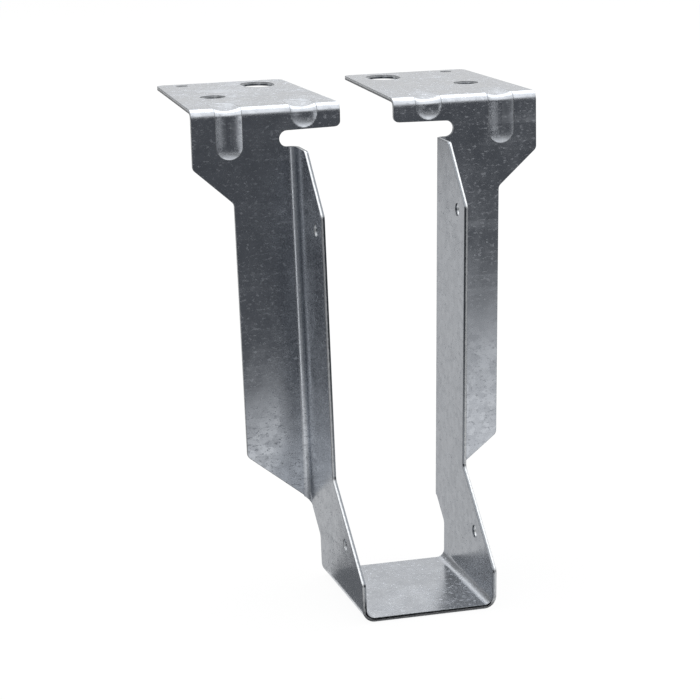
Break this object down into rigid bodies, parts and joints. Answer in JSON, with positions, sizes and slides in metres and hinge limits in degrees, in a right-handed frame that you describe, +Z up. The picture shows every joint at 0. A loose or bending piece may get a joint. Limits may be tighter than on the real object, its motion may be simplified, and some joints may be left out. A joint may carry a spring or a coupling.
{
  "type": "masonry hanger",
  "caption": "Folded sheet-steel hanger: flanges hook over a masonry wall top, plates lie on its face, and a narrow pocket with a flared foot carries a joist end.",
  "frame": {"origin": "middle of the seat's top face, where the joist bears", "axes": "+Z up from the seat to the flanges, +Y from the open front toward the masonry, +X to the right seen from the open front"},
  "size_m": [0.1324, 0.149, 0.1765],
  "materials": {
    "galvanised_sheet": "hot-dip galvanised, semi-bright with fine spangle"
  },
  "bodies": {
    "root": {"hanger": "galvanised_sheet"}
  },
  "joints": []
}
